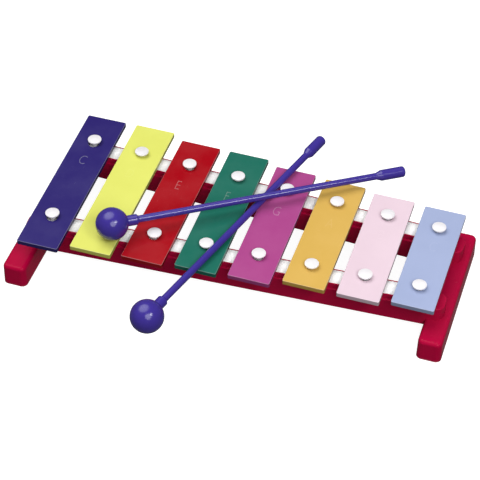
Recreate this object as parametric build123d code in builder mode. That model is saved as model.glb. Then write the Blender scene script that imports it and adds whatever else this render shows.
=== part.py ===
from build123d import *
import math
import os

os.makedirs("parts", exist_ok=True)

# A child's eight-bar glockenspiel with its two beaters lying across the bars.
# Millimetres. +Z is up, z = 0 is the surface that the feet stand on, +X runs from the
# longest bar to the shortest. The origin is the middle of the whole footprint, beaters
# included, so the centre line of the row of bars is at y = ROW_Y.

ROW_Y = 13.9

# Tone bars: flat steel, one width and thickness, shorter towards the high notes
BAR_NAMES = ["bar_c_low", "bar_d", "bar_e", "bar_f", "bar_g", "bar_a", "bar_b", "bar_c_high"]
BAR_LENGTHS = [119.1, 114.4, 107.4, 104.5, 98.1, 91.2, 87.9, 83.6]
BAR_SHIFTS = [-1.4, 1.4, -0.3, 0.9, -0.5, 1.4, 0.0, 0.8]
BAR_TURNS = [0.4, -0.1, -0.45, -0.2, -0.1, -0.45, 0.15, -0.25]
BAR_WIDTH = 25.0
BAR_THICKNESS = 3.0
BAR_PITCH = 31.43
BAR_TOP_Z = 30.5
BAR_BOTTOM_Z = BAR_TOP_Z - BAR_THICKNESS
BAR_CORNER_RADIUS = 0.9
BAR_EDGE_RADIUS = 0.35
BAR_HOLE_RADIUS = 3.2

# The two lines of pins close in on each other towards the short bars
PIN_LINE_MID = 29.87
PIN_LINE_SLOPE = 0.0452

# Rails: a wide lower tier, a narrower upper tier, and a channel in its top for the felt
RAIL_END_X = 126.4
RAIL_WIDTH = 14.6
RAIL_BOTTOM_Z = 9.0
RAIL_LEDGE_Z = 22.7
RAIL_TOP_Z = 25.9
RAIL_END_RADIUS = 5.2
LEDGE_EDGE_RADIUS = 0.7
RAIL_WALL = 2.2
UPPER_TIER_WIDTH = 12.0
UPPER_TIER_HALF_LENGTH = 120.5
UPPER_TIER_CORNER = 2.5
CHANNEL_WIDTH = 10.8
CHANNEL_DEPTH = 1.2
CHANNEL_HALF_LENGTH = 119.3
CHANNEL_FLOOR_Z = RAIL_TOP_Z - CHANNEL_DEPTH
RAIL_ROOF_Z = 21.0
RIB_THICKNESS = 1.4
SOCKET_RADIUS = 3.0
SOCKET_BOTTOM_Z = 10.5

# Feet: one beam across each end, under both rails
LEFT_FOOT_X = -122.9
RIGHT_FOOT_X = 123.4
FOOT_WIDTH = 14.6
FOOT_TOP_WIDTH = 14.2
FOOT_HEIGHT = 14.0
FOOT_CORNER_RADIUS = 3.4
FOOT_TOP_RADIUS = 2.2
FOOT_WALL = 2.3
FOOT_RIB_BOTTOM_Z = 4.0
FRONT_RIB_FRACTIONS = (0.82, 0.2)
BACK_RIB_FRACTIONS = (0.15, 0.8)
LEFT_FOOT_ENDS = (-68.1, 63.2)
RIGHT_FOOT_ENDS = (-50.5, 45.6)

# Felt strips, with a crowned top that the bars rest on
FELT_CLEARANCE = 0.1
FELT_CREST_Z = BAR_BOTTOM_Z - 0.15

# Pins: domed head, thick upper shaft that stops on the channel floor, thin shank
PIN_HEAD_RADIUS = 4.15
PIN_HEAD_BOTTOM_Z = BAR_TOP_Z + 1.75
PIN_HEAD_RIM = 0.75
PIN_HEAD_TOP_Z = BAR_TOP_Z + 3.15
PIN_SHAFT_RADIUS = 1.5
PIN_SHANK_RADIUS = 1.2
PIN_BOTTOM_Z = 12.5
PIN_TIP_LENGTH = 1.2
PIN_TIP_TAPER = 0.4
PIN_FIT_GAP = 0.02
FELT_HOLE_RADIUS = 1.6

# Beaters: ball, collar, shaft and a thicker grip with a rounded end
BALL_RADIUS = 9.75
COLLAR_RADIUS = 3.25
COLLAR_END = 15.6
COLLAR_EDGE = 0.8
SHAFT_RADIUS = 2.1
SHAFT_START = 1.0
SHAFT_FIT_GAP = 0.02
GRIP_RADIUS = 3.35
GRIP_LENGTH = 15.0
GRIP_CONE_LENGTH = 3.3
GRIP_END_RADIUS = 1.6
BEATER_REACH = 182.2

# How the beaters lie: the lower one on the bars, between two pin heads, its ball out over
# the front edge; the upper one with its ball on the D bar and its shaft on the lower one.
# Headings are degrees from +X. The rise is per millimetre, from ball to grip.
LOOSE_GAP = 0.3
LOWER_BALL = (-28.64, ROW_Y - 96.57)
LOWER_HEADING = 73.36
LOWER_RISE = 0.0056
LOWER_BEARING_REACH = 46.8
UPPER_BALL = (-70.1, ROW_Y - 40.3)
UPPER_HEADING = 34.94


def finish(builder, name):
    """Label a finished piece and write it to its own file."""
    builder.part.label = name
    export_step(builder.part, f"parts/{name}.step")
    sound = builder.part.is_valid and len(builder.part.solids()) == 1
    print(f"{name}: {builder.part.volume:.0f} mm3", "" if sound else "NOT ONE SOUND SOLID")


def pin_line_y(x):
    """Distance of the pins from the row's centre line at a place along it."""
    return PIN_LINE_MID - PIN_LINE_SLOPE * x


def bar_x(index):
    return (index - (len(BAR_NAMES) - 1) / 2) * BAR_PITCH


def rail_plane(side, z):
    """A plane on a rail's centre line: its x runs along the rail."""
    along = (1, -side * PIN_LINE_SLOPE, 0)
    return Plane(origin=(0, ROW_Y + side * PIN_LINE_MID, z), x_dir=along, z_dir=(0, 0, 1))


PIN_PLACES = [
    (bar_x(i), ROW_Y + side * pin_line_y(bar_x(i))) for i in range(len(BAR_NAMES)) for side in (-1, 1)
]


# ---- feet: one hollow beam across each end, its top edges rounded ----
def foot_outside(x, front, back):
    """The solid outside of a foot, which the rails are also cut to fit over."""
    middle = ROW_Y + (front + back) / 2
    draft = FOOT_WIDTH - FOOT_TOP_WIDTH
    with BuildPart() as outside:
        with BuildSketch(Plane((x, middle, 0))):
            RectangleRounded(FOOT_WIDTH, back - front, FOOT_CORNER_RADIUS)
        with BuildSketch(Plane((x, middle, FOOT_HEIGHT))):
            RectangleRounded(FOOT_TOP_WIDTH, back - front - draft, FOOT_CORNER_RADIUS)
        loft()
        foot_top = outside.faces().filter_by(Axis.Z).sort_by(Axis.Z)[-1]
        fillet(foot_top.edges(), FOOT_TOP_RADIUS)
    return outside.part


FEET = [("foot_left", LEFT_FOOT_X, *LEFT_FOOT_ENDS), ("foot_right", RIGHT_FOOT_X, *RIGHT_FOOT_ENDS)]
FOOT_OUTSIDES = [foot_outside(x, front, back) for name, x, front, back in FEET]

for (name, x, front, back), outside in zip(FEET, FOOT_OUTSIDES):
    with BuildPart() as foot:
        add(outside)
        with BuildSketch(Plane((x, ROW_Y + (front + back) / 2, 0))):
            RectangleRounded(
                FOOT_WIDTH - 2 * FOOT_WALL,
                back - front - 2 * FOOT_WALL,
                FOOT_CORNER_RADIUS - FOOT_WALL,
            )
        extrude(amount=FOOT_HEIGHT - FOOT_WALL, mode=Mode.SUBTRACT)
        rib_ys = [front * fraction for fraction in FRONT_RIB_FRACTIONS]
        rib_ys += [back * fraction for fraction in BACK_RIB_FRACTIONS]
        with BuildSketch(Plane((x, ROW_Y, FOOT_RIB_BOTTOM_Z))):
            with Locations([(0, y) for y in rib_ys]):
                Rectangle(FOOT_WIDTH - FOOT_WALL, RIB_THICKNESS)
        extrude(amount=FOOT_HEIGHT - FOOT_WALL / 2 - FOOT_RIB_BOTTOM_Z)
    finish(foot, name)


# ---- rails: two tiers, hollow underneath, their ends standing on the feet ----
for name, side in (("rail_front", -1), ("rail_back", 1)):
    rail_pins = [place for place in PIN_PLACES if (place[1] - ROW_Y) * side > 0]
    with BuildPart() as rail:
        with BuildSketch(rail_plane(side, RAIL_BOTTOM_Z)):
            RectangleRounded(2 * RAIL_END_X, RAIL_WIDTH, RAIL_END_RADIUS)
        extrude(amount=RAIL_LEDGE_Z - RAIL_BOTTOM_Z)
        ledge = rail.faces().filter_by(Axis.Z).sort_by(Axis.Z)[-1]
        fillet(ledge.edges(), LEDGE_EDGE_RADIUS)

        # upper tier, with the felt's channel in its top
        with BuildSketch(rail_plane(side, RAIL_LEDGE_Z)):
            RectangleRounded(2 * UPPER_TIER_HALF_LENGTH, UPPER_TIER_WIDTH, UPPER_TIER_CORNER)
        extrude(amount=RAIL_TOP_Z - RAIL_LEDGE_Z)
        with BuildSketch(rail_plane(side, RAIL_TOP_Z)):
            Rectangle(2 * CHANNEL_HALF_LENGTH, CHANNEL_WIDTH)
        extrude(amount=-CHANNEL_DEPTH, mode=Mode.SUBTRACT)

        # hollow underside, with a cross rib below each gap between bars
        with BuildSketch(rail_plane(side, RAIL_BOTTOM_Z)):
            RectangleRounded(
                2 * (RAIL_END_X - RAIL_WALL), RAIL_WIDTH - 2 * RAIL_WALL, RAIL_END_RADIUS - RAIL_WALL
            )
        extrude(amount=RAIL_ROOF_Z - RAIL_BOTTOM_Z, mode=Mode.SUBTRACT)
        with BuildSketch(rail_plane(side, RAIL_BOTTOM_Z)):
            with Locations([(bar_x(i + 0.5), 0) for i in range(len(BAR_NAMES) - 1)]):
                Rectangle(RIB_THICKNESS, RAIL_WIDTH - RAIL_WALL)
        extrude(amount=RAIL_ROOF_Z - RAIL_BOTTOM_Z + RIB_THICKNESS / 2)

        # sockets that the pins are pressed into
        with BuildSketch(Plane.XY.offset(SOCKET_BOTTOM_Z)):
            with Locations(rail_pins):
                Circle(SOCKET_RADIUS)
        extrude(amount=RAIL_ROOF_Z - SOCKET_BOTTOM_Z + RIB_THICKNESS / 2)
        with BuildSketch(Plane.XY.offset(CHANNEL_FLOOR_Z)):
            with Locations(rail_pins):
                Circle(PIN_SHANK_RADIUS + PIN_FIT_GAP)
        extrude(amount=SOCKET_BOTTOM_Z - CHANNEL_FLOOR_Z, mode=Mode.SUBTRACT)

        # the ends are cut to stand on the feet
        for outside in FOOT_OUTSIDES:
            add(outside, mode=Mode.SUBTRACT)
    finish(rail, name)


# ---- felt strips ----
for name, side in (("felt_front", -1), ("felt_back", 1)):
    rail = rail_plane(side, CHANNEL_FLOOR_Z)
    half_width = CHANNEL_WIDTH / 2 - FELT_CLEARANCE
    half_length = CHANNEL_HALF_LENGTH - FELT_CLEARANCE
    edge = (half_width, CHANNEL_DEPTH)
    crest = (0, FELT_CREST_Z - CHANNEL_FLOOR_Z)
    section = Plane(origin=rail.origin - rail.x_dir * half_length, x_dir=rail.y_dir, z_dir=rail.x_dir)
    with BuildPart() as felt:
        with BuildSketch(section):
            with BuildLine():
                Polyline((-edge[0], edge[1]), (-half_width, 0), (half_width, 0), edge)
                ThreePointArc(edge, crest, (-edge[0], edge[1]))
            make_face()
        extrude(amount=2 * half_length)
        with BuildSketch(Plane.XY.offset(CHANNEL_FLOOR_Z)):
            with Locations(PIN_PLACES):
                Circle(FELT_HOLE_RADIUS)
        extrude(amount=FELT_CREST_Z - CHANNEL_FLOOR_Z, mode=Mode.SUBTRACT)
    finish(felt, name)


# ---- tone bars ----
for i, name in enumerate(BAR_NAMES):
    turn = math.radians(BAR_TURNS[i])
    lying = Plane(
        origin=(bar_x(i), ROW_Y + BAR_SHIFTS[i], BAR_BOTTOM_Z),
        x_dir=(math.cos(turn), math.sin(turn), 0),
        z_dir=(0, 0, 1),
    )
    hole_y = pin_line_y(bar_x(i))
    with BuildPart() as bar:
        with BuildSketch(lying):
            RectangleRounded(BAR_WIDTH, BAR_LENGTHS[i], BAR_CORNER_RADIUS)
            with Locations((0, -hole_y), (0, hole_y)):
                Circle(BAR_HOLE_RADIUS, mode=Mode.SUBTRACT)
        extrude(amount=BAR_THICKNESS)
        fillet(bar.faces().filter_by(Axis.Z).edges(), BAR_EDGE_RADIUS)
    finish(bar, name)


# ---- pins ----
for i, bar_name in enumerate(BAR_NAMES):
    for side, end in ((-1, "front"), (1, "back")):
        x = bar_x(i)
        y = ROW_Y + side * pin_line_y(x)
        with BuildPart() as pin:
            with BuildSketch(Plane(origin=(x, y, 0), x_dir=(1, 0, 0), z_dir=(0, -1, 0))):
                with BuildLine():
                    rim_top = (PIN_HEAD_RADIUS, PIN_HEAD_BOTTOM_Z + PIN_HEAD_RIM)
                    dome_rise = PIN_HEAD_TOP_Z - rim_top[1]
                    dome_radius = (PIN_HEAD_RADIUS**2 + dome_rise**2) / (2 * dome_rise)
                    dome_half = PIN_HEAD_RADIUS / 2
                    dome_drop = dome_radius - math.sqrt(dome_radius**2 - dome_half**2)
                    Polyline(
                        (0, PIN_HEAD_TOP_Z),
                        (0, PIN_BOTTOM_Z),
                        (PIN_SHANK_RADIUS - PIN_TIP_TAPER, PIN_BOTTOM_Z),
                        (PIN_SHANK_RADIUS, PIN_BOTTOM_Z + PIN_TIP_LENGTH),
                        (PIN_SHANK_RADIUS, CHANNEL_FLOOR_Z),
                        (PIN_SHAFT_RADIUS, CHANNEL_FLOOR_Z),
                        (PIN_SHAFT_RADIUS, PIN_HEAD_BOTTOM_Z),
                        (PIN_HEAD_RADIUS, PIN_HEAD_BOTTOM_Z),
                        rim_top,
                    )
                    dome_middle = (dome_half, PIN_HEAD_TOP_Z - dome_drop)
                    ThreePointArc(rim_top, dome_middle, (0, PIN_HEAD_TOP_Z))
                make_face()
            revolve(axis=Axis((x, y, 0), (0, 0, 1)))
        finish(pin, f"pin_{bar_name.removeprefix('bar_')}_{end}")


# ---- beaters ----
def heading_vector(degrees, rise=0.0):
    angle = math.radians(degrees)
    return Vector(math.cos(angle), math.sin(angle), rise).normalized()


def build_beater(name, ball_centre, along):
    """A beater in three pieces, head, shaft and grip, each turned about the same axis."""
    axis = Axis(ball_centre, along)
    half = Plane(origin=ball_centre, x_dir=along, z_dir=along.cross(Vector(0, 0, 1)))
    neck_x = math.sqrt(BALL_RADIUS**2 - COLLAR_RADIUS**2)
    bore = SHAFT_RADIUS + SHAFT_FIT_GAP
    with BuildPart() as head:
        with BuildSketch(half):
            with BuildLine():
                ThreePointArc((-BALL_RADIUS, 0), (0, BALL_RADIUS), (neck_x, COLLAR_RADIUS))
                Polyline(
                    (neck_x, COLLAR_RADIUS),
                    (COLLAR_END - COLLAR_EDGE, COLLAR_RADIUS),
                    (COLLAR_END, COLLAR_RADIUS - COLLAR_EDGE),
                    (COLLAR_END, bore),
                    (SHAFT_START, bore),
                    (SHAFT_START, 0),
                    (-BALL_RADIUS, 0),
                )
            make_face()
        revolve(axis=axis)
    finish(head, f"{name}_head")

    grip_start = BEATER_REACH - GRIP_LENGTH
    cone_start = grip_start - GRIP_CONE_LENGTH
    with BuildPart() as shaft:
        with BuildSketch(half):
            with BuildLine():
                Polyline(
                    (SHAFT_START, 0),
                    (SHAFT_START, SHAFT_RADIUS),
                    (cone_start, SHAFT_RADIUS),
                    (cone_start, 0),
                    close=True,
                )
            make_face()
        revolve(axis=axis)
    finish(shaft, f"{name}_shaft")

    round_start = (BEATER_REACH - GRIP_END_RADIUS, GRIP_RADIUS)
    round_end = (BEATER_REACH, GRIP_RADIUS - GRIP_END_RADIUS)
    with BuildPart() as grip:
        with BuildSketch(half):
            with BuildLine():
                Polyline(
                    (cone_start, 0), (cone_start, SHAFT_RADIUS), (grip_start, GRIP_RADIUS), round_start
                )
                RadiusArc(round_start, round_end, GRIP_END_RADIUS)
                Polyline(round_end, (BEATER_REACH, 0), (cone_start, 0))
            make_face()
        revolve(axis=axis)
    finish(grip, f"{name}_grip")


def flat_cross(a, b):
    return a.X * b.Y - a.Y * b.X


# the lower beater bears on the front edge of the F bar
bearing_z = BAR_TOP_Z + SHAFT_RADIUS + LOOSE_GAP
lower_along = heading_vector(LOWER_HEADING, LOWER_RISE)
lower_ball = Vector(*LOWER_BALL, bearing_z - LOWER_RISE * LOWER_BEARING_REACH)
build_beater("beater_lower", lower_ball, lower_along)

# the upper beater slopes from its ball down to where it crosses the lower one
upper_ball = Vector(*UPPER_BALL, BAR_TOP_Z + BALL_RADIUS + LOOSE_GAP)
upper_flat, lower_flat = heading_vector(UPPER_HEADING), heading_vector(LOWER_HEADING)
apart = lower_ball - upper_ball
upper_reach = flat_cross(apart, lower_flat) / flat_cross(upper_flat, lower_flat)
lower_reach = flat_cross(apart, upper_flat) / flat_cross(upper_flat, lower_flat)
crossing_z = lower_ball.Z + LOWER_RISE * lower_reach + 2 * SHAFT_RADIUS + LOOSE_GAP
upper_rise = (crossing_z - upper_ball.Z) / upper_reach
build_beater("beater_upper", upper_ball, heading_vector(UPPER_HEADING, upper_rise))
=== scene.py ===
import math
import random

import bmesh
import bpy
from mathutils import Matrix, Vector, noise


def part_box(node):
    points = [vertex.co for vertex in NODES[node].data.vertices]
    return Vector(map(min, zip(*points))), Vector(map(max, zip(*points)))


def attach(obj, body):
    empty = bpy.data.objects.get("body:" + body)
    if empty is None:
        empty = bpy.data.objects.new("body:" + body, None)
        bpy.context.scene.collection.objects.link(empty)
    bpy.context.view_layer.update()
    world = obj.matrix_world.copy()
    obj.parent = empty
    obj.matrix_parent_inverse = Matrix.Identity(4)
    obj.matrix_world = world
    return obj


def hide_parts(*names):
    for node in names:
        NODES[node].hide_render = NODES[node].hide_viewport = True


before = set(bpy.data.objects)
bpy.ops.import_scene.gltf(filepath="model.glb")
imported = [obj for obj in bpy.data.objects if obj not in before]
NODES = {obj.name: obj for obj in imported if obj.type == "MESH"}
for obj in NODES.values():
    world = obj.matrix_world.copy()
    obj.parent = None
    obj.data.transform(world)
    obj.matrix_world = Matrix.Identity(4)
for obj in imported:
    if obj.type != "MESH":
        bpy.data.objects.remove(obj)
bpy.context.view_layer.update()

MM = 0.001

# The bars from long to short: node, note letter, paint colour (linear), and in millimetres how
# far the letter stands across from the bar's middle and back from the middle of the pin rows
BARS = [
    ("bar_c_low", "C", (0.028, 0.019, 0.153), (-1.0, 16.8)),
    ("bar_d", "D", (0.715, 0.738, 0.146), (-1.0, 14.2)),
    ("bar_e", "E", (0.360, 0.001, 0.007), (-1.2, 13.3)),
    ("bar_f", "F", (0.012, 0.143, 0.101), (-1.7, 13.2)),
    ("bar_g", "G", (0.380, 0.060, 0.234), (-0.9, 10.1)),
    ("bar_a", "A", (0.640, 0.402, 0.090), (0.4, 10.0)),
    ("bar_b", "B", (0.728, 0.568, 0.643), (0.0, 9.8)),
    ("bar_c_high", "C", (0.335, 0.393, 0.591), (0.0, 9.6)),
]
CRIMSON = (0.435, 0.001, 0.041)
VIOLET = (0.044, 0.026, 0.280)
PIN_WHITE = (0.815, 0.795, 0.815)
FELT_WHITE = (0.930, 0.920, 0.915)
FIBRE_WHITE = (0.980, 0.980, 0.975)
FLOOR_DARK = (0.330, 0.330, 0.330)
FLOOR_LIGHT = (0.345, 0.345, 0.345)
SOFT_BODY = "root"


def middle_of(node):
    low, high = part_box(node)
    return (low + high) / 2


PIN_NODES = sorted(name for name in NODES if name.startswith("pin_"))
PIN_PLACES = [middle_of(name) for name in PIN_NODES]
ROW_MIDDLE = sum(place.y for place in PIN_PLACES) / len(PIN_PLACES)


def add_object(name, data):
    made = bpy.data.objects.new(name, data)
    bpy.context.scene.collection.objects.link(made)
    return made


# ---------------------------------------------------------------- node helpers
class Nodes:
    """A few short ways to write a material's node tree."""

    SOCKETS = {
        "colour": "Base Color",
        "rough": "Roughness",
        "ior": "IOR",
        "gloss": "Specular IOR Level",
        "coat": "Coat Weight",
        "coat_rough": "Coat Roughness",
        "sheen": "Sheen Weight",
        "sheen_rough": "Sheen Roughness",
        "depth": "Subsurface Weight",
        "depth_scale": "Subsurface Scale",
        "glow": "Emission Color",
        "glow_strength": "Emission Strength",
    }

    def __init__(self, name):
        self.material = bpy.data.materials.new(name)
        self.material.use_nodes = True
        self.tree = self.material.node_tree
        self.shader = self.tree.nodes["Principled BSDF"]
        self.place = self.add("ShaderNodeTexCoord").outputs["Object"]
        self.facing = self.add("ShaderNodeTexCoord").outputs["Normal"]

    def add(self, kind, **settings):
        node = self.tree.nodes.new(kind)
        for key, value in settings.items():
            setattr(node, key, value)
        return node

    def feed(self, socket, value):
        if isinstance(value, bpy.types.NodeSocket):
            self.tree.links.new(value, socket)
        else:
            socket.default_value = value

    def math(self, operation, a, b):
        node = self.add("ShaderNodeMath", operation=operation)
        self.feed(node.inputs[0], a)
        self.feed(node.inputs[1], b)
        return node.outputs[0]

    def plus(self, a, b):
        return self.math("ADD", a, b)

    def times(self, a, b):
        return self.math("MULTIPLY", a, b)

    def larger(self, a, b):
        return self.math("MAXIMUM", a, b)

    def ramp(self, value, low, high, to_low=0.0, to_high=1.0):
        """A smooth step; low may be above high, and the step then falls."""
        node = self.add("ShaderNodeMapRange", interpolation_type="SMOOTHSTEP")
        self.feed(node.inputs["Value"], value)
        node.inputs["From Min"].default_value = low
        node.inputs["From Max"].default_value = high
        node.inputs["To Min"].default_value = to_low
        node.inputs["To Max"].default_value = to_high
        return node.outputs["Result"]

    def noise(self, per_metre, detail, rough, distortion=0.0, stretch=None, turn=0.0):
        where = self.place
        if stretch:
            mapping = self.add("ShaderNodeMapping")
            self.feed(mapping.inputs["Vector"], where)
            mapping.inputs["Scale"].default_value = stretch
            mapping.inputs["Rotation"].default_value = (0, 0, turn)
            where = mapping.outputs[0]
        node = self.add("ShaderNodeTexNoise")
        self.feed(node.inputs["Vector"], where)
        node.inputs["Scale"].default_value = per_metre
        node.inputs["Detail"].default_value = detail
        node.inputs["Roughness"].default_value = rough
        node.inputs["Distortion"].default_value = distortion
        return node.outputs["Fac"]

    def axis(self, vector, which):
        node = self.add("ShaderNodeSeparateXYZ")
        self.feed(node.inputs[0], vector)
        return node.outputs[which]

    def distance(self, point):
        """Distance from a point, measured level."""
        away = self.add("ShaderNodeVectorMath", operation="SUBTRACT")
        self.feed(away.inputs[0], self.place)
        away.inputs[1].default_value = point
        level = self.add("ShaderNodeVectorMath", operation="MULTIPLY")
        self.feed(level.inputs[0], away.outputs[0])
        level.inputs[1].default_value = (1, 1, 0)
        length = self.add("ShaderNodeVectorMath", operation="LENGTH")
        self.feed(length.inputs[0], level.outputs[0])
        return length.outputs["Value"]

    def mix(self, amount, a, b):
        node = self.add("ShaderNodeMix", data_type="RGBA")
        self.feed(node.inputs["Factor"], amount)
        self.feed(node.inputs["A"], a if isinstance(a, bpy.types.NodeSocket) else (*a, 1))
        self.feed(node.inputs["B"], b if isinstance(b, bpy.types.NodeSocket) else (*b, 1))
        return node.outputs["Result"]

    def lay(self, body, mask, share, colour):
        """The body with a colour laid over it where the mask is, by a share at most."""
        return self.mix(self.times(mask, share), body, colour)

    def bump(self, heights, strength):
        """heights is a list of (value, height in metres); each is laid on the last."""
        normal = None
        for value, height in heights:
            node = self.add("ShaderNodeBump")
            node.inputs["Strength"].default_value = strength
            node.inputs["Distance"].default_value = height
            self.feed(node.inputs["Height"], value)
            if normal:
                self.feed(node.inputs["Normal"], normal)
            normal = node.outputs[0]
        self.feed(self.shader.inputs["Normal"], normal)

    def set(self, **values):
        for key, value in values.items():
            if isinstance(value, tuple):
                value = (*value, 1)
            self.feed(self.shader.inputs[self.SOCKETS[key]], value)


def scaled(colour, factor):
    return tuple(c * factor for c in colour)


def toward_white(colour, share):
    """A colour moved a share of the way to white."""
    return tuple(c + (1 - c) * share for c in colour)


def dress(node, material):
    """Give a CAD node its material in every slot."""
    slots = NODES[node].data.materials
    if not slots:
        slots.append(material)
    for i in range(len(slots)):
        slots[i] = material


# ------------------------------------------------------------------- materials
# A mark on a bar is full out to the first distance from its middle and gone at the second
HOLE_RING = (3.2 * MM, 6.2 * MM)
STRUCK_PATCH = (6 * MM, 30 * MM)
PEEL_HEIGHT = 0.10 * MM
PAINT_GRAIN = 0.012 * MM
SCRATCH_DEPTH = 0.003 * MM


def enamel(name, colour, node):
    """Stoved enamel on flat steel: a slight orange peel, painted shade that darkens the sloping
    sides, rounded edges made paler partly by thinner paint and partly by a painted highlight, hair
    scratches where the beaters strike, and a darker, duller ring round each hole."""
    n = Nodes(name)
    low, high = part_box(node)
    peel = n.noise(38, 4, 0.55)
    grain = n.noise(420, 2, 0.5)
    up = n.axis(n.facing, "Z")
    # Painted shade: faces that slope away from straight up, the bar's sides, are darkened.
    painted_side_shade = n.ramp(up, 0.92, 0.30)
    # The rounded edges are paler: partly thinner paint, partly a painted highlight.
    edge_paint_and_highlight = n.times(n.ramp(up, 0.995, 0.90), n.ramp(up, 0.25, 0.60))
    body = n.mix(n.ramp(peel, 0.3, 0.7), scaled(colour, 0.965), toward_white(colour, 0.012))
    body = n.lay(body, painted_side_shade, 0.75, scaled(colour, 0.45))
    body = n.lay(body, edge_paint_and_highlight, 0.40, toward_white(colour, 0.35))

    ring_full, ring_gone = HOLE_RING
    rings = None
    for place in PIN_PLACES:
        if low.x < place.x < high.x:
            ring = n.ramp(n.distance((place.x, place.y, 0)), ring_gone, ring_full)
            rings = n.larger(rings, ring) if rings else ring
    # A darker, rougher ring round each hole, under and just past the pin head.
    darker_hole_ring = n.times(rings, n.ramp(n.noise(600, 4, 0.6), 0.30, 0.75))
    body = n.lay(body, darker_hole_ring, 0.22, scaled(colour, 0.35))

    middle = middle_of(node)
    patch_full, patch_gone = STRUCK_PATCH
    struck = n.ramp(n.distance((middle.x, middle.y, 0)), patch_gone, patch_full)

    def hairs(per_metre, stretch, turn):
        fine = n.noise(per_metre, 2, 0.5, 0.2, stretch=stretch, turn=turn)
        return n.times(n.ramp(fine, 0.66, 0.76), struck)

    scratch = n.larger(hairs(3200, (1, 0.06, 1), 0.7), hairs(3600, (0.06, 1, 1), 0.35))
    body = n.lay(body, scratch, 0.05, toward_white(colour, 0.4))
    rough = n.plus(n.ramp(peel, 0.25, 0.75, 0.10, 0.15), n.times(scratch, 0.16))
    rough = n.plus(rough, n.times(darker_hole_ring, 0.22))
    n.set(colour=body, rough=rough, ior=1.5, gloss=0.08, coat=0.08, coat_rough=0.05)
    n.bump([(peel, PEEL_HEIGHT), (grain, PAINT_GRAIN), (scratch, -SCRATCH_DEPTH)], 0.4)
    return n.material


FLOW_HEIGHT = 0.05 * MM
MOULD_GRAIN = 0.010 * MM
SCUFF_DEPTH = 0.006 * MM
TABLE_RUB = 1.6 * MM


def moulded(name, colour, rough, coat, gloss=0.2, wear_low=None, grain=1.0):
    """The nodes of an injection-moulded plastic: a faint mould texture, flow marks, light
    scuffs and, where asked, low edges rubbed dull by the table."""
    n = Nodes(name)
    cloud = n.noise(26, 4, 0.55)
    grainy = n.noise(1500, 2, 0.6)
    flow = n.noise(170, 3, 0.5, stretch=(0.4, 1, 1))
    scuff = n.ramp(n.noise(750, 4, 0.7, 0.5, stretch=(0.3, 1, 1), turn=0.5), 0.62, 0.78)
    body = n.mix(n.ramp(cloud, 0.3, 0.7), scaled(colour, 0.93), toward_white(colour, 0.004))
    body = n.lay(body, scuff, 0.04, toward_white(colour, 0.45))
    roughness = n.ramp(cloud, 0.25, 0.75, rough - 0.04, rough + 0.05)
    roughness = n.plus(roughness, n.times(scuff, 0.14))
    if wear_low:
        low_edge = n.ramp(n.axis(n.place, "Z"), wear_low, 0.0)
        rubbed = n.times(low_edge, n.ramp(n.noise(420, 4, 0.7), 0.35, 0.7))
        body = n.lay(body, rubbed, 0.35, toward_white(colour, 0.28))
        roughness = n.plus(roughness, n.times(rubbed, 0.3))
    n.set(colour=body, rough=roughness, ior=1.49, gloss=gloss, coat=coat, coat_rough=0.035)
    n.bump([(flow, FLOW_HEIGHT * grain), (grainy, MOULD_GRAIN * grain), (scuff, -SCUFF_DEPTH)], 0.5)
    return n


def pin_material():
    """The pins' white plastic, which lets a little light in."""
    n = moulded("pin_plastic", PIN_WHITE, rough=0.30, coat=0.2, grain=0.6)
    n.set(depth=0.12, depth_scale=0.002)
    n.shader.inputs["Subsurface Radius"].default_value = (1.0, 0.9, 0.8)
    return n.material


def felt_material():
    """Pressed wool felt: matted fibres, with painted shade: a little darker in the hollows and
    paler on the humps.
    """
    n = Nodes("felt")
    mat = n.noise(520, 6, 0.7, 1.4)
    fibres = n.noise(1900, 4, 0.75, 2.2, stretch=(0.35, 1, 1))
    strands = n.noise(2400, 3, 0.7, 2.6, stretch=(1, 0.3, 1), turn=0.6)
    woven = n.larger(fibres, strands)
    # Painted shade: the felt is darker where its bump is low and paler where it is high.
    body = n.mix(n.ramp(mat, 0.32, 0.66), scaled(FELT_WHITE, 0.86), toward_white(FELT_WHITE, 0.25))
    body = n.lay(body, n.ramp(woven, 0.55, 0.75), 0.3, FIBRE_WHITE)
    n.set(colour=body, rough=n.ramp(mat, 0.3, 0.7, 0.84, 0.98), sheen=0.35, sheen_rough=0.5)
    n.bump([(mat, 0.35 * MM), (woven, 0.14 * MM)], 0.8)
    return n.material


def floor_material():
    """Paper that gives off some light, so that it comes out near white."""
    n = Nodes("floor")
    paper = n.noise(160, 5, 0.6)
    shade = n.mix(n.ramp(paper, 0.3, 0.7), FLOOR_DARK, FLOOR_LIGHT)
    n.set(colour=shade, rough=0.8, glow=(1.0, 1.0, 1.0), glow_strength=0.93)
    n.bump([(paper, 0.03 * MM)], 0.3)
    return n.material


for node, _, colour, _ in BARS:
    dress(node, enamel(node.replace("bar_", "enamel_"), colour, node))

frame_plastic = moulded(
    "frame_plastic", CRIMSON, rough=0.20, coat=0.03, gloss=0.05, wear_low=TABLE_RUB
)
for name in ("foot_left", "foot_right", "rail_front", "rail_back"):
    dress(name, frame_plastic.material)

pins_plastic = pin_material()
for name in PIN_NODES:
    dress(name, pins_plastic)

for which in ("lower", "upper"):
    plastic = moulded(
        f"beater_{which}_plastic", VIOLET, rough=0.20, coat=0.40, gloss=0.30, grain=0.25
    )
    for piece in ("head", "shaft", "grip"):
        dress(f"beater_{which}_{piece}", plastic.material)


# ------------------------------------------------------------------ felt strips
FELT_HALF_WIDTH = 5.25 * MM
FELT_END_GAP = 0.8 * MM
FELT_UNDERSIDE = 0.05 * MM
EDGE_SHARE = 0.47
CROWN_SLACK = 0.10 * MM
MATTING = 0.09 * MM
EDGE_WANDER = 0.08 * MM
PRESS_DEPTH = 0.12 * MM
PRESS_RUN_IN = 2.5 * MM
FELT_COLUMNS, FELT_ROWS = 480, 22

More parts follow.
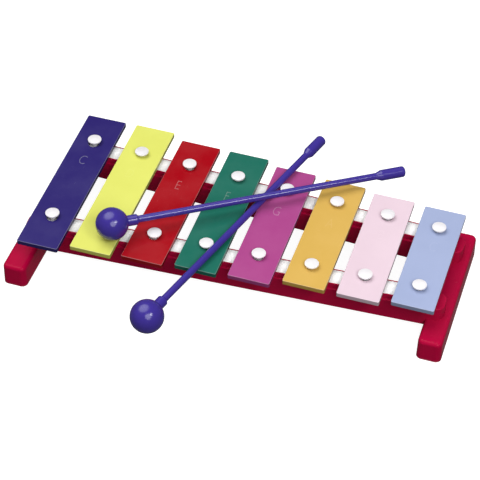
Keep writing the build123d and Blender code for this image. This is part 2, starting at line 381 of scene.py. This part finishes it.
FIBRES = 5200
FIBRE_HALF_THICKNESS = 0.012 * MM
FIBRE_REACH = (0.25, 0.8)
FIBRE_ROOT = 0.04 * MM
FIBRE_ROOF_GAP = 0.02 * MM
PIN_CLEARANCE = 2.4 * MM


def felt_pile(name, spot, height, half_length, side):
    """The strip's body: a gridded top with straight sides and a flat underside. spot gives a
    point of the strip from its place along and across it, and height how high the felt is."""
    shape = bmesh.new()
    stations = [
        -half_length + 2 * half_length * i / FELT_COLUMNS for i in range(FELT_COLUMNS + 1)
    ]
    grid = []
    for s in stations:
        line = []
        for j in range(FELT_ROWS + 1):
            t = -1 + 2 * j / FELT_ROWS
            flat = spot(s, t, EDGE_WANDER * noise.noise(Vector((s * 260, t * 2, side))))
            line.append(shape.verts.new(flat + Vector((0, 0, height(t, flat)))))
        grid.append(line)
    underside = Vector((0, 0, FELT_UNDERSIDE))
    base = [[shape.verts.new(spot(s, t) + underside) for t in (-1, 1)] for s in stations]

    for i in range(FELT_COLUMNS):
        here, there = grid[i], grid[i + 1]
        for j in range(FELT_ROWS):
            shape.faces.new((here[j], there[j], there[j + 1], here[j + 1]))
        (near, far), (near_next, far_next) = base[i], base[i + 1]
        shape.faces.new((near, near_next, there[0], here[0]))
        shape.faces.new((here[-1], there[-1], far_next, far))
        shape.faces.new((far, far_next, near_next, near))
    for i, order in ((0, 1), (FELT_COLUMNS, -1)):
        ring = [base[i][0]] + grid[i] + [base[i][1]]
        shape.faces.new(ring[::order])
    bmesh.ops.recalc_face_normals(shape, faces=shape.faces)

    mesh = bpy.data.meshes.new(name + "_felt")
    shape.to_mesh(mesh)
    shape.free()
    for polygon in mesh.polygons:
        polygon.use_smooth = True
    return add_object(name + "_pile", mesh)


def felt_fuzz(name, spot, height, half_length, roof, pins, draw):
    """Loose fibres that stand off the felt, most of them near its edges, each a bent ribbon."""
    fuzz = bmesh.new()
    for _ in range(FIBRES):
        s = draw.uniform(-half_length, half_length)
        if draw.random() < 0.6:
            t = draw.choice((-1, 1)) * draw.uniform(0.55, 0.99)
        else:
            t = draw.uniform(-1, 1)
        flat = spot(s, t)
        if any((Vector((p.x, p.y, flat.z)) - flat).length < PIN_CLEARANCE for p in pins):
            continue
        foot = flat + Vector((0, 0, height(t, flat) - FIBRE_ROOT))
        heading = draw.uniform(0, math.tau)
        lean = Vector((math.cos(heading), math.sin(heading), draw.uniform(0.05, 0.45)))
        reach = draw.uniform(*FIBRE_REACH) * MM
        bend = Vector((draw.uniform(-1, 1), draw.uniform(-1, 1), -0.4)) * 0.25 * reach
        across = lean.cross(Vector((0, 0, 1))).normalized() * FIBRE_HALF_THICKNESS
        tips = [foot, foot + lean * reach * 0.5, foot + lean * reach + bend]
        for tip in tips:
            tip.z = min(tip.z, roof)
        for a, b in zip(tips, tips[1:]):
            quad = [fuzz.verts.new(p) for p in (a - across, a + across, b + across, b - across)]
            fuzz.faces.new(quad)
    mesh = bpy.data.meshes.new(name + "_fuzz")
    fuzz.to_mesh(mesh)
    fuzz.free()
    return add_object(name + "_fuzz", mesh)


def felt_strip(name, material):
    """The strip as it lies: crowned between the bars, pressed flatter under each one,
    with a matted surface and a fibre fuzz. It stays inside its CAD solid's height."""
    low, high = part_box(name)
    side = 1 if "back" in name else -1
    pins = [p for p in PIN_PLACES if (p.y - ROW_MIDDLE) * side > 0]
    first, last = min(pins, key=lambda p: p.x), max(pins, key=lambda p: p.x)
    run = Vector((last.x - first.x, last.y - first.y, 0)).normalized()
    cross = Vector((-run.y, run.x, 0))
    centre = Vector(((first.x + last.x) / 2, (first.y + last.y) / 2, low.z))
    half_length = (high.x - low.x) / 2 / run.x - FELT_END_GAP
    rise = high.z - low.z
    edge_rise = EDGE_SHARE * rise
    bar_spans = [(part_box(node)[0].x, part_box(node)[1].x) for node, *_ in BARS]

    def spot(s, t, aside=0.0):
        return centre + run * s + cross * (t * FELT_HALF_WIDTH + aside)

    def height(t, point):
        crown = edge_rise + (rise - edge_rise) * (1 - t * t)
        pressed = 0.0
        for x0, x1 in bar_spans:
            inside = min(point.x - x0, x1 - point.x) / PRESS_RUN_IN
            pressed = max(pressed, min(1.0, max(0.0, inside)))
        crown -= PRESS_DEPTH * pressed * (1 - t * t)
        rough = noise.noise(point * 900) * 0.5 + noise.noise(point * 2100) * 0.3
        return crown - CROWN_SLACK - MATTING * rough

    strip = felt_pile(name, spot, height, half_length, side)
    strip.data.materials.append(material)
    draw = random.Random(11 if side < 0 else 23)
    roof = low.z + rise - FIBRE_ROOF_GAP
    fibres = felt_fuzz(name, spot, height, half_length, roof, pins, draw)
    fibres.data.materials.append(material)

    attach(strip, SOFT_BODY)
    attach(fibres, SOFT_BODY)
    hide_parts(name)


felt = felt_material()
for name in ("felt_front", "felt_back"):
    felt_strip(name, felt)


# ------------------------------------------------------------------ note letters
LETTER_HEIGHT = 8.2 * MM
LETTER_THICKNESS = 0.03 * MM
LETTER_NARROWING = 0.62
LETTER_THINNING = 0.022
FONT_SIZE_SHARE = 1.4
DARK_BAR = 0.5


def letter_highlight(node, colour):
    """The bar's colour, paler, as a painted highlight on the stamped letter: by more on a dark bar
    than on a light one.
    """
    n = Nodes(node + "_note_highlight")
    speck = n.noise(900, 4, 0.7)
    # Painted highlight: the letter is paler than its bar, by more on a dark bar.
    contrast = 1.0 if max(colour) < DARK_BAR else 0.3
    least, most = toward_white(colour, 0.07 * contrast), toward_white(colour, 0.16 * contrast)
    tint = n.mix(n.ramp(speck, 0.35, 0.7), least, most)
    n.set(colour=tint, rough=n.ramp(speck, 0.3, 0.7, 0.12, 0.20), ior=1.5, gloss=0.13, coat=0.05)
    n.bump([(speck, 0.02 * MM)], 0.5)
    return n.material


def note_letter(node, letter, colour, place):
    """A thin stamped note letter, between the back pin and the middle of the bar."""
    low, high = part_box(node)
    middle = (low + high) / 2
    curve = bpy.data.curves.new(node + "_note", "FONT")
    curve.body = letter
    curve.align_x = curve.align_y = "CENTER"
    curve.size = LETTER_HEIGHT * FONT_SIZE_SHARE
    curve.offset = -LETTER_THINNING * LETTER_HEIGHT
    curve.extrude = LETTER_THICKNESS / 2
    curve.bevel_depth = LETTER_THICKNESS / 4
    source = bpy.data.objects.new(node + "_curve", curve)
    mesh = bpy.data.meshes.new_from_object(source)
    bpy.data.objects.remove(source)
    mesh.materials.clear()
    mesh.materials.append(letter_highlight(node, colour))

    letter_object = add_object(node + "_note", mesh)
    across, along = place
    letter_object.scale.x = LETTER_NARROWING
    letter_object.location = (middle.x + across * MM, ROW_MIDDLE + along * MM, high.z)
    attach(letter_object, node)


for node, letter, colour, place in BARS:
    note_letter(node, letter, colour, place)


# ------------------------------------------------------------------ stage, light
FLOOR_REACH = 6.0
FLOOR_DROP = 0.02 * MM

# A broad soft dome, high and a little to the back left, over a weaker light from all round. A
# direction's cosine with the dome's middle says where its edge and its full strength begin
DOME_TOWARDS = Vector((-0.371, 0.137, 0.918))
DOME_EDGE, DOME_CORE = 0.80, 0.97
DOME_STRENGTH = 3.35
AMBIENT_STRENGTH = 0.14

# A small lamp to the front right and a large fill to the front: the way towards each, its size,
# its power and how much of it shows in reflections
LAMP_DISTANCE = 1.35
LAMPS = [
    ("lamp", Vector((0.556, -0.323, 0.762)), 0.36, 4.5, 3.0),
    ("fill", Vector((0.350, -0.650, 0.680)), 0.90, 8.5, 0.0),
]


def stage_floor():
    mesh = bpy.data.meshes.new("floor")
    shape = bmesh.new()
    bmesh.ops.create_grid(shape, x_segments=8, y_segments=8, size=FLOOR_REACH)
    shape.to_mesh(mesh)
    shape.free()
    mesh.materials.append(floor_material())
    floor = add_object("floor", mesh)
    floor.location.z = -FLOOR_DROP
    floor.visible_diffuse = floor.visible_glossy = False


def sky_light():
    world = bpy.data.worlds.new("studio")
    bpy.context.scene.world = world
    world.use_nodes = True
    tree = world.node_tree
    looking = tree.nodes.new("ShaderNodeTexCoord").outputs["Generated"]
    cosine = tree.nodes.new("ShaderNodeVectorMath")
    cosine.operation = "DOT_PRODUCT"
    cosine.inputs[1].default_value = DOME_TOWARDS.normalized()
    tree.links.new(looking, cosine.inputs[0])
    dome = tree.nodes.new("ShaderNodeMapRange")
    dome.interpolation_type = "SMOOTHSTEP"
    tree.links.new(cosine.outputs["Value"], dome.inputs["Value"])
    dome.inputs["From Min"].default_value = DOME_EDGE
    dome.inputs["From Max"].default_value = DOME_CORE
    dome.inputs["To Min"].default_value = AMBIENT_STRENGTH
    dome.inputs["To Max"].default_value = DOME_STRENGTH
    background = tree.nodes["Background"]
    background.inputs["Color"].default_value = (1, 1, 1, 1)
    tree.links.new(dome.outputs["Result"], background.inputs["Strength"])


def lamp_lights():
    for name, towards, size, power, shine in LAMPS:
        lamp = bpy.data.lights.new(name, "AREA")
        lamp.shape = "DISK"
        lamp.size = size
        lamp.energy = power
        lamp.specular_factor = shine
        holder = add_object(name, lamp)
        way = towards.normalized()
        holder.location = way * LAMP_DISTANCE
        holder.rotation_euler = (-way).to_track_quat("-Z", "Y").to_euler()


stage_floor()
sky_light()
lamp_lights()
bpy.context.scene.view_settings.view_transform = "Standard"

# ------------------------------------------------------------------------ camera
# It aims at a point on the bars' tops, a little right of the origin and forward of the pin rows
CAMERA_AZIMUTH = math.radians(16.89)
CAMERA_ELEVATION = math.radians(44.03)
CAMERA_ROLL = math.radians(0.97)
CAMERA_DISTANCE = 1.0362
AIM_RIGHT, AIM_FORWARD = 1.2 * MM, 19.6 * MM
SENSOR_WIDTH, FOCAL_LENGTH = 36.0, 133.1
LENS_SHIFT = (0.00052, -0.00104)

bar_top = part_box("bar_f")[1].z
target = Vector((AIM_RIGHT, ROW_MIDDLE - AIM_FORWARD, bar_top))
back = Vector((
    math.sin(CAMERA_AZIMUTH) * math.cos(CAMERA_ELEVATION),
    -math.cos(CAMERA_AZIMUTH) * math.cos(CAMERA_ELEVATION),
    math.sin(CAMERA_ELEVATION),
))
lens = bpy.data.cameras.new("camera")
lens.sensor_width = SENSOR_WIDTH
lens.lens = FOCAL_LENGTH
lens.shift_x, lens.shift_y = LENS_SHIFT
lens.clip_start = 0.01
lens.clip_end = 50.0
camera = add_object("camera", lens)
level = (-back).to_track_quat("-Z", "Y").to_matrix()
camera.matrix_world = Matrix.Translation(target + back * CAMERA_DISTANCE) @ (
    level @ Matrix.Rotation(CAMERA_ROLL, 3, "Z")
).to_4x4()
bpy.context.scene.camera = camera
